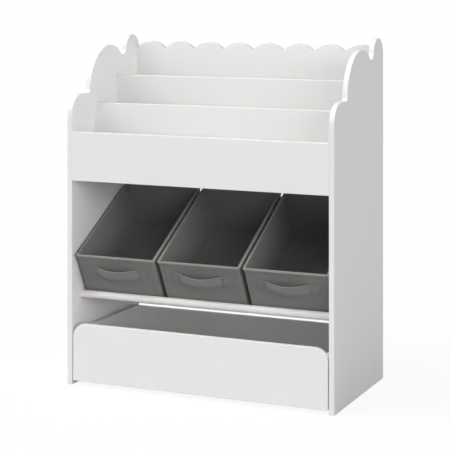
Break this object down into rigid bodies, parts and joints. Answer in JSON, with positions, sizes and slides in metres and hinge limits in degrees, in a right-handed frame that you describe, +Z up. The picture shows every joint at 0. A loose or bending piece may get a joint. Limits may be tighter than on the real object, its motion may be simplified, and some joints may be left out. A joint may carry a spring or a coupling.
{
  "type": "toy storage organizer",
  "caption": "Free-standing children's toy organizer with stepped book tiers, scalloped white panels, tilted fabric bins on rails and a rolling drawer.",
  "frame": {"origin": "on the floor under the middle of the organizer", "axes": "+X to the right seen from the front, +Y from the open front to the back, +Z up"},
  "size_m": [0.8, 0.42, 0.978],
  "materials": {
    "white_board": "white satin foil on fibreboard",
    "white_rail": "white powder coat",
    "bin_fabric": "grey non-woven fabric over board",
    "insert_board": "fabric-covered hardboard",
    "handle_strap": "folded non-woven strap, box stitched",
    "beech": "plain",
    "zinc": "zinc plated",
    "bracket_steel": "zinc plated, dull",
    "wheel_plastic": "matte"
  },
  "bodies": {
    "cabinet": {"back_panel": "white_board", "cam_bolts": "zinc", "cam_nuts": "zinc", "dowels": "beech", "front_bin_rail": "white_rail", "left_side_panel": "white_board", "lower_bin_rail": "white_rail", "rear_stretcher": "white_board", "right_side_panel": "white_board", "tier_1_board": "white_board", "tier_1_floor": "white_board", "tier_2_board": "white_board", "tier_2_floor": "white_board", "tier_3_board": "white_board", "tier_3_floor": "white_board", "upper_bin_rail": "white_rail"},
    "drawer": {"caster_axle_front_left": "zinc", "caster_axle_front_right": "zinc", "caster_axle_rear_left": "zinc", "caster_axle_rear_right": "zinc", "caster_bracket_front_left": "bracket_steel", "caster_bracket_front_right": "bracket_steel", "caster_bracket_rear_left": "bracket_steel", "caster_bracket_rear_right": "bracket_steel", "caster_screws": "zinc", "drawer_back": "white_board", "drawer_base": "white_board", "drawer_base_screws": "zinc", "drawer_cam_bolts": "zinc", "drawer_cam_nuts": "zinc", "drawer_dowels": "beech", "drawer_front": "white_board", "drawer_left_side": "white_board", "drawer_right_side": "white_board", "drawer_side_screws": "zinc"},
    "wheel_front_left": {"caster_wheel_front_left": "wheel_plastic"},
    "wheel_front_right": {"caster_wheel_front_right": "wheel_plastic"},
    "wheel_rear_left": {"caster_wheel_rear_left": "wheel_plastic"},
    "wheel_rear_right": {"caster_wheel_rear_right": "wheel_plastic"},
    "bin_1": {"bin_1_shell": "bin_fabric", "bin_1_insert": "insert_board", "bin_1_handle": "handle_strap"},
    "bin_2": {"bin_2_shell": "bin_fabric", "bin_2_insert": "insert_board", "bin_2_handle": "handle_strap"},
    "bin_3": {"bin_3_shell": "bin_fabric", "bin_3_insert": "insert_board", "bin_3_handle": "handle_strap"}
  },
  "joints": [
    {"name": "drawer_slide", "type": "slide", "parent": "cabinet", "child": "drawer", "axis": [0, -1, 0], "range_m": [0, 0.45]},
    {"name": "spin_front_left", "type": "hinge", "parent": "drawer", "child": "wheel_front_left", "pos_m": [-0.325, -0.14, 0.014], "axis": [1, 0, 0], "continuous": true},
    {"name": "spin_front_right", "type": "hinge", "parent": "drawer", "child": "wheel_front_right", "pos_m": [0.325, -0.14, 0.014], "axis": [1, 0, 0], "continuous": true},
    {"name": "spin_rear_left", "type": "hinge", "parent": "drawer", "child": "wheel_rear_left", "pos_m": [-0.325, 0.113, 0.014], "axis": [1, 0, 0], "continuous": true},
    {"name": "spin_rear_right", "type": "hinge", "parent": "drawer", "child": "wheel_rear_right", "pos_m": [0.325, 0.113, 0.014], "axis": [1, 0, 0], "continuous": true},
    {"name": "bin_1_lift", "type": "slide", "parent": "cabinet", "child": "bin_1", "axis": [0, -0.4756, 0.8796], "range_m": [0, 0.1]},
    {"name": "bin_2_lift", "type": "slide", "parent": "cabinet", "child": "bin_2", "axis": [0, -0.4756, 0.8796], "range_m": [0, 0.1]},
    {"name": "bin_3_lift", "type": "slide", "parent": "cabinet", "child": "bin_3", "axis": [0, -0.4756, 0.8796], "range_m": [0, 0.1]}
  ],
  "couplings": [
    {"joint": "spin_front_left", "follows": "drawer_slide", "rad_per_m": 71.429},
    {"joint": "spin_front_right", "follows": "drawer_slide", "rad_per_m": 71.429},
    {"joint": "spin_rear_left", "follows": "drawer_slide", "rad_per_m": 71.429},
    {"joint": "spin_rear_right", "follows": "drawer_slide", "rad_per_m": 71.429}
  ]
}
